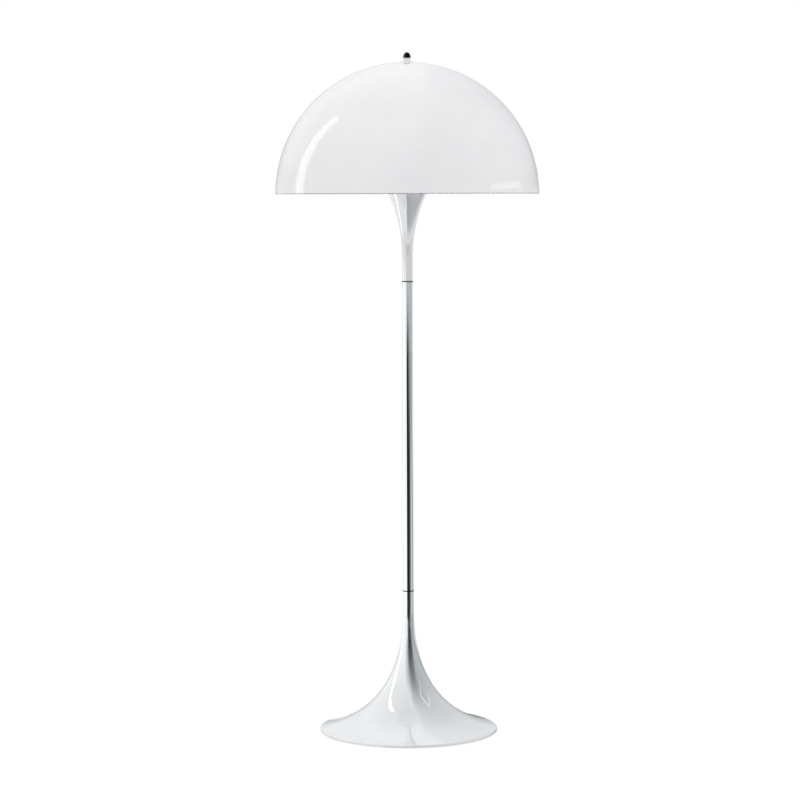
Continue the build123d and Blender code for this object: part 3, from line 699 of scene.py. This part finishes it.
def grain(tree, size_mm, stretch=(1, 1, 1), detail=3.0):
    where = node(tree, "ShaderNodeTexCoord")
    squeezed = node(
        tree, "ShaderNodeVectorMath", {0: where.outputs["Object"], 1: stretch}, operation="MULTIPLY"
    )
    noise = node(
        tree,
        "ShaderNodeTexNoise",
        {"Vector": squeezed.outputs[0], "Scale": 1 / (size_mm * MM), "Detail": detail},
    )
    return noise.outputs["Fac"]


def between(tree, pattern, low, high):
    spread = node(
        tree,
        "ShaderNodeMapRange",
        {
            "Value": pattern,
            "From Min": NOISE_LOW,
            "From Max": NOISE_HIGH,
            "To Min": low,
            "To Max": high,
        },
    )
    return spread.outputs["Result"]


def tint(tree, pattern, dark, light):
    made = node(tree, "ShaderNodeValToRGB", {"Fac": pattern})
    return set_stops(made, [(NOISE_LOW, linear(dark)), (NOISE_HIGH, linear(light))])


def relief(tree, pattern, depth_mm):
    bump = node(
        tree,
        "ShaderNodeBump",
        {"Height": pattern, "Distance": depth_mm * MM, "Strength": 1.0},
    )
    return bump.outputs["Normal"]


# %% [markdown]
# Turned parts show the fine rings that the tool left. The rings follow height on a shaft and
# radius on a face, so the sum of both drives one wave on every surface of the part. The same
# wave by height alone, coarser and deeper, draws a screw thread.


# %% Turned rings and threads
def rings(tree, pitch_mm, with_radius=True):
    where = node(tree, "ShaderNodeTexCoord")
    xyz = node(tree, "ShaderNodeSeparateXYZ", {0: where.outputs["Object"]})
    flat = node(tree, "ShaderNodeCombineXYZ", {"X": xyz.outputs["X"], "Y": xyz.outputs["Y"]})
    radius = node(tree, "ShaderNodeVectorMath", {0: flat.outputs[0]}, operation="LENGTH")
    along = node(
        tree,
        "ShaderNodeMath",
        {0: radius.outputs["Value"], 1: 1.0 if with_radius else 0.0, 2: xyz.outputs["Z"]},
        operation="MULTIPLY_ADD",
    )
    phase = node(
        tree,
        "ShaderNodeMath",
        {0: along.outputs[0], 1: math.tau / (pitch_mm * MM)},
        operation="MULTIPLY",
    )
    wave = node(tree, "ShaderNodeMath", {0: phase.outputs[0]}, operation="SINE")
    shifted = node(
        tree,
        "ShaderNodeMapRange",
        {"Value": wave.outputs[0], "From Min": -1.0, "From Max": 1.0},
    )
    return shifted.outputs["Result"]


# %% [markdown]
# ## White lacquer over a polished shell
#
# Foot and reflector are spun metal trumpets, polished, then sprayed with white gloss
# lacquer. On the foot the lacquer is thin where the neck meets its ring, so there the neck
# mirrors the room like the pole does, and it thickens down the flare until white covers the
# metal. On the reflector it is thin at the ring and again halfway up. One Principled shader
# does both: its metallic share follows the distance from the ring.


# %% Lacquered shell
CHROME_LIGHT = "#d9dcdd"


def lacquered_shell(name, ring_height, reach, metal_showing):
    """metal_showing lists (distance from the ring as a share of reach, share of bare metal)."""
    made = new_material(name)
    tree = made.node_tree
    where = node(tree, "ShaderNodeTexCoord")
    xyz = node(tree, "ShaderNodeSeparateXYZ", {0: where.outputs["Object"]})
    away = node(tree, "ShaderNodeMath", {0: xyz.outputs["Z"], 1: ring_height}, operation="SUBTRACT")
    distance = node(tree, "ShaderNodeMath", {0: away.outputs[0]}, operation="ABSOLUTE")
    share = node(
        tree,
        "ShaderNodeMapRange",
        {"Value": distance.outputs[0], "From Min": 0.0, "From Max": reach},
    )
    bare = set_stops(
        node(tree, "ShaderNodeValToRGB", {"Fac": share.outputs["Result"]}),
        painted(metal_showing, grey),
    )
    paint = tint(tree, grain(tree, 30.0), "#eeeff1", "#f1f2f4")
    colour = node(
        tree,
        "ShaderNodeMix",
        {"Factor": bare, 6: paint, 7: linear(CHROME_LIGHT)},
        data_type="RGBA",
    )
    shader = node(
        tree,
        "ShaderNodeBsdfPrincipled",
        {
            "Base Color": colour.outputs[2],
            "Metallic": bare,
            "Roughness": between(tree, grain(tree, 12.0), 0.045, 0.065),
            "IOR": 1.5,
            "Coat Weight": 0.2,
            "Coat Roughness": 0.03,
            # the lacquer's faint orange peel
            "Normal": relief(tree, grain(tree, 1.6), 0.0006),
        },
    )
    finish_with(tree, shader)
    return made


FOOT_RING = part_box("base_trumpet")[1][2]
REFLECTOR_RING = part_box("reflector_trumpet")[0][2]
REFLECTOR_REACH = 0.247  # from its ring to its mouth
FOOT_METAL = [
    (0.0, 1.0), (0.34, 0.96), (0.44, 0.88), (0.50, 0.82), (0.57, 0.75), (0.63, 0.65),
    (0.70, 0.46), (0.76, 0.32), (0.82, 0.22), (0.88, 0.15), (1.0, 0.08),
]
REFLECTOR_METAL = [
    (0.0, 0.38), (0.1, 0.28), (0.2, 0.14), (0.33, 0.1), (0.42, 0.34), (0.66, 0.34), (0.78, 0.14),
    (1.0, 0.06),
]
foot_finish = lacquered_shell("white gloss lacquer, foot", FOOT_RING, FOOT_RING, FOOT_METAL)
reflector_finish = lacquered_shell(
    "white gloss lacquer, reflector", REFLECTOR_RING, REFLECTOR_REACH, REFLECTOR_METAL
)
print("rings at", round(FOOT_RING, 4), "and", round(REFLECTOR_RING, 4))

# %% [markdown]
# ## Polished chrome
#
# The pole is a steel tube, polished along its length and chromium plated. Chrome is a cool
# grey mirror. What is left of the polishing is very fine lines up the tube, drawn here
# coarser than they are, so that they show close up.

# %% Polished chrome
chrome = new_material("polished chrome")
tree = chrome.node_tree
polish_lines = grain(tree, 0.9, stretch=(1, 1, 0.01))
finish_with(
    tree,
    node(
        tree,
        "ShaderNodeBsdfPrincipled",
        {
            "Base Color": tint(tree, grain(tree, 60.0), "#d6d9da", CHROME_LIGHT),
            "Metallic": 1.0,
            "Roughness": between(tree, polish_lines, 0.03, 0.05),
            "Normal": relief(tree, polish_lines, 0.00015),
        },
    ),
)
print(chrome.name, "has", len(tree.nodes), "nodes")

# %% [markdown]
# ## Opal acrylic
#
# The dome is a 3 mm sheet of opal acrylic, heated and blown to shape. Opal acrylic scatters
# light inside, so light from above comes through and the inside of the dome stays bright.
# Subsurface scattering does that, and the surface itself is a smooth clear gloss. The last two
# millimetres above the rim are painted grey: a painted dark line for the shade along the rim.

# %% Opal acrylic
RIM_SHADE_UP_TO, SHEET_FROM = 0.0012, 0.0021  # metres above the rim

opal = new_material("opal acrylic")
tree = opal.node_tree
where = node(tree, "ShaderNodeTexCoord")
xyz = node(tree, "ShaderNodeSeparateXYZ", {0: where.outputs["Object"]})
# Painted shade: the colour turns grey in the lowest two millimetres, to draw a dark line along the
# rim.
painted_rim_shade = node(
    tree,
    "ShaderNodeMapRange",
    {
        "Value": xyz.outputs["Z"],
        "From Min": RIM_HEIGHT + SHEET_FROM,
        "From Max": RIM_HEIGHT + RIM_SHADE_UP_TO,
    },
)
rim_shade_and_sheet = node(
    tree,
    "ShaderNodeMix",
    {
        "Factor": painted_rim_shade.outputs["Result"],
        6: tint(tree, grain(tree, 40.0), "#f1f1f3", "#f3f3f5"),
        7: linear("#a2a2a8"),
    },
    data_type="RGBA",
)
finish_with(
    tree,
    node(
        tree,
        "ShaderNodeBsdfPrincipled",
        {
            "Base Color": rim_shade_and_sheet.outputs[2],
            "Roughness": between(tree, grain(tree, 25.0), 0.05, 0.08),
            "IOR": 1.49,
            "Subsurface Weight": 1.0,
            "Subsurface Radius": (1.0, 1.0, 1.0),
            "Subsurface Scale": 0.004,
            # a blown sheet is never quite even
            "Normal": relief(tree, grain(tree, 60.0, detail=1.0), 0.001),
        },
    ),
)
print(opal.name, "has", len(tree.nodes), "nodes")

# %% [markdown]
# ## Black and white mouldings
#
# Knob and joint rings are black injection-moulded plastic, as dark as plastic gets. The nut
# and washer under the knob are natural white nylon, which all but vanishes against white.
# A moulding takes the fine texture of its mould, so the gloss is never quite even.


# %% Moulded plastics
GLOSS_VARIES = 0.04  # how far the roughness strays from its mean
CLOUD_SIZE = 8  # the tint's grain against the texture's


def moulded(name, dark, light, roughness, grain_mm, depth_mm, specular=0.5):
    """The mould's texture has a grain and a depth in millimetres."""
    made = new_material(name)
    tree = made.node_tree
    skin = grain(tree, grain_mm)
    shader = node(
        tree,
        "ShaderNodeBsdfPrincipled",
        {
            "Base Color": tint(tree, grain(tree, grain_mm * CLOUD_SIZE), dark, light),
            "Roughness": between(tree, skin, roughness - GLOSS_VARIES, roughness + GLOSS_VARIES),
            "Specular IOR Level": specular,
            "IOR": 1.5,
            "Normal": relief(tree, skin, depth_mm),
        },
    )
    finish_with(tree, shader)
    return made


black_plastic = moulded("black ABS", "#020202", "#050505", 0.16, 0.4, 0.002, specular=0.2)
white_nylon = moulded("white nylon", "#f4f4f4", "#fafafa", 0.35, 0.5, 0.004)
black_phenolic = moulded("black phenolic", "#141415", "#1c1c1d", 0.38, 0.6, 0.006)
natural_nylon = moulded("natural nylon", "#dedbd0", "#e8e6dc", 0.42, 0.5, 0.006)
thermoset = moulded("white thermoset", "#dcdad2", "#e7e5de", 0.30, 0.5, 0.004)
sheath = moulded("white PVC", "#dcdbd7", "#e6e5e1", 0.45, 0.7, 0.006)
brown_board = moulded("phenolic paper board", "#5a3a1e", "#6e4a29", 0.55, 0.5, 0.01)
foot_rubber = moulded("black rubber", "#151515", "#202020", 0.72, 0.35, 0.02, specular=0.3)
cover_board = moulded(
    "grey vulcanised fibre", "#8e8f90", "#9d9e9f", 0.62, 0.8, 0.02, specular=0.35
)
print("materials so far:", len(bpy.data.materials))

# %% [markdown]
# ## Metals inside
#
# The tie rod, nuts and screws are zinc-plated steel, a soft grey with a faint mottle. The
# spigots and the throat cone are turned aluminium with fine rings. Contacts are brass. All
# share one function, because they differ only in colour, gloss and grain.


# %% Plated, turned and pressed metals
POLISH_VARIES = 0.05  # how far the roughness strays from its mean
MOTTLE_SIZE = 5  # the tint's grain against the roughness's


def plain_metal(name, dark, light, roughness, grain_mm, depth_mm, pattern=None):
    """pattern(tree) gives the relief where it isn't plain grain, such as turned rings."""
    made = new_material(name)
    tree = made.node_tree
    polish = between(
        tree, grain(tree, grain_mm), roughness - POLISH_VARIES, roughness + POLISH_VARIES
    )
    height = pattern(tree) if pattern else grain(tree, grain_mm)
    shader = node(
        tree,
        "ShaderNodeBsdfPrincipled",
        {
            "Base Color": tint(tree, grain(tree, grain_mm * MOTTLE_SIZE), dark, light),
            "Metallic": 1.0,
            "Roughness": polish,
            "Normal": relief(tree, height, depth_mm),
        },
    )
    finish_with(tree, shader)
    return made


zinc_plated = plain_metal("zinc-plated steel", "#b4b5b3", "#c6c7c6", 0.30, 0.8, 0.003)
threaded = plain_metal(
    "zinc-plated thread",
    "#b0b1af",
    "#c4c5c4",
    0.32,
    0.8,
    0.25,
    lambda tree: rings(tree, 1.0, with_radius=False),
)
pressed_steel = plain_metal("pressed steel, plated", "#bcbdbd", "#cbcccc", 0.34, 1.2, 0.006)
turned_aluminium = plain_metal(
    "turned aluminium", "#c9cacc", "#d8d9db", 0.28, 0.7, 0.006, lambda tree: rings(tree, 0.25)
)
turned_steel = plain_metal(
    "turned steel", "#a9aaab", "#bcbdbe", 0.24, 0.5, 0.004, lambda tree: rings(tree, 0.2)
)
zinc_casting = plain_metal("zinc die casting", "#a8a9aa", "#b6b7b8", 0.42, 0.9, 0.012)
brass = plain_metal("brass", "#c9a45c", "#d8b670", 0.26, 0.6, 0.003)
nickel = plain_metal("nickel-plated brass", "#c8c2b4", "#d6d1c5", 0.24, 0.6, 0.003)
print("materials so far:", len(bpy.data.materials))

# %% [markdown]
# ## Cast iron
#
# The ballast is grey cast iron, left as it came from the sand: dark, rough and uneven. Its
# skin is part oxide, so it is only partly metallic.

# %% Cast iron
cast_iron = new_material("grey cast iron")
tree = cast_iron.node_tree
sand = grain(tree, 1.4, detail=6.0)
finish_with(
    tree,
    node(
        tree,
        "ShaderNodeBsdfPrincipled",
        {
            "Base Color": tint(tree, grain(tree, 9.0), "#3b3a39", "#4d4b49"),
            "Metallic": 0.6,
            "Roughness": between(tree, sand, 0.58, 0.78),
            "Normal": relief(tree, sand, 0.12),
        },
    ),
)
print(cast_iron.name, "has", len(tree.nodes), "nodes")

# %% [markdown]
# ## Opal glass
#
# The bulbs are blown from white opal glass, dense enough to hide what is inside. Light goes
# a little way into it and comes out softened, which subsurface scattering gives.

# %% Opal glass
opal_glass = new_material("opal glass")
tree = opal_glass.node_tree
finish_with(
    tree,
    node(
        tree,
        "ShaderNodeBsdfPrincipled",
        {
            "Base Color": tint(tree, grain(tree, 15.0), "#f1efe8", "#f5f3ee"),
            "Roughness": between(tree, grain(tree, 8.0), 0.06, 0.1),
            "IOR": 1.52,
            "Subsurface Weight": 0.6,
            "Subsurface Radius": (1.0, 1.0, 1.0),
            "Subsurface Scale": 0.002,
        },
    ),
)
print(opal_glass.name, "has", len(tree.nodes), "nodes")

# %% [markdown]
# ## Dressing the frame
#
# Each node takes the finish of its real stuff. The nodes keep their shapes and places.

# %% Assign the finishes
FINISH = {
    "base_trumpet": foot_finish,
    "reflector_trumpet": reflector_finish,
    "shade": opal,
    "pole_tube": chrome,
    "shade_nut": white_nylon,
    "top_washer": white_nylon,
    "knob": black_plastic,
    "lower_joint_ring": black_plastic,
    "upper_joint_ring": black_plastic,
    "dimmer_cup": black_phenolic,
    "dimmer_cover": zinc_casting,
    "dimmer_shaft": turned_steel,
    "dimmer_wiper": brass,
    "dimmer_board": brown_board,
    "dimmer_screws": zinc_plated,
    "knob_screw": zinc_plated,
    "cover_screws": zinc_plated,
    "lower_nut": zinc_plated,
    "lower_washer": zinc_plated,
    "throat_nut": zinc_plated,
    "carrier_nut": zinc_plated,
    "coupler": zinc_plated,
    "holder_nuts": zinc_plated,
    "holder_nipples": threaded,
    "tie_rod": threaded,
    "spindle": threaded,
    "lamp_carrier": pressed_steel,
    "lower_spigot": turned_aluminium,
    "upper_spigot": turned_aluminium,
    "throat_cone": turned_aluminium,
    "ballast_disc": cast_iron,
    "base_cover": cover_board,
    "foot_ring": foot_rubber,
    "cord_grommet": foot_rubber,
    "seat_washer": foot_rubber,
    "terminal_block": natural_nylon,
    "terminal_screws": brass,
    "supply_lead": sheath,
    "holder_leads": sheath,
    "holder_sleeves": brass,
    "holder_contacts": brass,
}
BULBS = (1, 2, 3)
for bulb in BULBS:
    FINISH[f"lampholder_{bulb}"] = thermoset
    FINISH[f"bulb_glass_{bulb}"] = opal_glass
    FINISH[f"bulb_cap_{bulb}"] = nickel
for name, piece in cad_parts.items():
    piece.data.materials.clear()
    piece.data.materials.append(FINISH[name])
print("finishes given:", len(FINISH))

# %% [markdown]
# ## Cover screws
#
# Four countersunk machine screws hold the cover under the foot. Such a screw is cold-headed
# from wire, its cross recess is punched with sloping walls, and its thread is rolled. The
# frame's solid only blocks it out. A finer piece stands in for it: a skin whose radius
# follows a helix, with the recess cut out of the head by a tapered cross.

# %% The skin of one screw
SCREW_RADIUS, SCREW_HEAD, SCREW_LENGTH = 0.0020, 0.0036, 0.0120
THREAD_PITCH, THREAD_DEPTH = 0.0007, 0.0004
ROWS_PER_TURN, SIDES_PER_TURN = 6, 36
HEAD_LAND = 0.0002  # the short upright edge of the head
CONE_END = HEAD_LAND + SCREW_HEAD - SCREW_RADIUS  # where the head's 45 degree cone meets the shank
TIP_SLOPE = 0.8  # how fast the last turn narrows


def screw_radius(height, angle):
    if height <= HEAD_LAND:
        return SCREW_HEAD
    if height <= CONE_END:
        return SCREW_HEAD - (height - HEAD_LAND)
    fade_in = min(1.0, (height - CONE_END) / THREAD_PITCH)
    tip = max(0.0, height - (SCREW_LENGTH - THREAD_PITCH))
    turns = height / THREAD_PITCH - angle / math.tau
    valley = abs(2 * (turns % 1.0) - 1)
    return SCREW_RADIUS - THREAD_DEPTH * valley * fade_in - tip * TIP_SLOPE


def screw_skin():
    threaded_length = SCREW_LENGTH - CONE_END
    rows = round(threaded_length / (THREAD_PITCH / ROWS_PER_TURN))
    heights = [0.0, HEAD_LAND] + [CONE_END + i * threaded_length / rows for i in range(rows + 1)]
    skin = bmesh.new()
    loops = []
    for height in heights:
        loop = []
        for i in range(SIDES_PER_TURN):
            angle = math.tau * i / SIDES_PER_TURN
            radius = screw_radius(height, angle)
            point = (radius * math.cos(angle), radius * math.sin(angle), height)
            loop.append(skin.verts.new(point))
        loops.append(loop)
    for low, high in zip(loops, loops[1:]):
        for i in range(SIDES_PER_TURN):
            j = (i + 1) % SIDES_PER_TURN
            skin.faces.new((low[i], low[j], high[j], high[i]))
    skin.faces.new(loops[0][::-1])
    skin.faces.new(loops[-1])
    return skin


# %% [markdown]
# The recess is a cross that narrows as it goes in. Its outline is drawn once just outside the
# head's face and once, smaller, at the bottom of the recess.

# %% The cross recess
RECESS_REACH, RECESS_WIDTH, RECESS_DEPTH = 0.0021, 0.0009, 0.0018
RECESS_TAPER = 0.4  # size at the bottom against the size at the face
CUTTER_OUTSIDE = 0.0002  # how far the cutter stands out of the face
CUTTER_FLARE = 1.07  # its size there


def cross_outline(scale):
    reach, half = RECESS_REACH * scale, RECESS_WIDTH * scale / 2
    corner = [(reach, -half), (reach, half), (half, half)]
    outline = []
    for quarter in range(4):
        turn_by = Matrix.Rotation(quarter * math.pi / 2, 2)
        outline += [turn_by @ Vector(point) for point in corner]
    return outline


def recess_cutter():
    cutter = bmesh.new()
    ends = []
    for height, scale in ((-CUTTER_OUTSIDE, CUTTER_FLARE), (RECESS_DEPTH, RECESS_TAPER)):
        outline = cross_outline(scale)
        ends.append([cutter.verts.new((point.x, point.y, height)) for point in outline])
    face_end, deep_end = ends
    for i in range(len(face_end)):
        j = (i + 1) % len(face_end)
        cutter.faces.new((face_end[i], face_end[j], deep_end[j], deep_end[i]))
    cutter.faces.new(face_end[::-1])
    cutter.faces.new(deep_end)
    return cutter


def as_object(name, shape):
    shape.normal_update()
    mesh = bpy.data.meshes.new(name)
    shape.to_mesh(mesh)
    shape.free()
    made = bpy.data.objects.new(name, mesh)
    bpy.context.scene.collection.objects.link(made)
    return made


# %% [markdown]
# A Boolean cuts the recess once, and the finished screw is copied to its four places on a
# circle 190 mm across.

# %% Four finished screws
blank = as_object("screw_blank", screw_skin())
cross = as_object("recess_cross", recess_cutter())
cut = blank.modifiers.new("recess", "BOOLEAN")
cut.object = cross
cut.operation = "DIFFERENCE"
cut.solver = "EXACT"
evaluated = blank.evaluated_get(bpy.context.evaluated_depsgraph_get())
finished = bpy.data.meshes.new_from_object(evaluated)
for leftover in (blank, cross):
    bpy.data.objects.remove(leftover)

SCREW_CIRCLE = 0.095
FIRST_SCREW = math.radians(45)
SHARP_FROM = math.radians(35)  # edges that fold more than this are drawn sharp
cover_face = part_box("cover_screws")[0][2]
together = bmesh.new()
for quarter in range(4):
    placed = finished.copy()
    along_circle = Matrix.Rotation(FIRST_SCREW + quarter * math.pi / 2, 4, "Z")
    placed.transform(along_circle @ Matrix.Translation((SCREW_CIRCLE, 0, cover_face)))
    together.from_mesh(placed)
screws = as_object("cover_screws_threaded", together)
screws.data.shade_smooth()
screws.data.set_sharp_from_angle(angle=SHARP_FROM)
screws.data.materials.append(zinc_plated)
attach(screws, "lamp")
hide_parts("cover_screws")
print("screws:", len(screws.data.vertices), "points, cover face at", round(cover_face, 4))
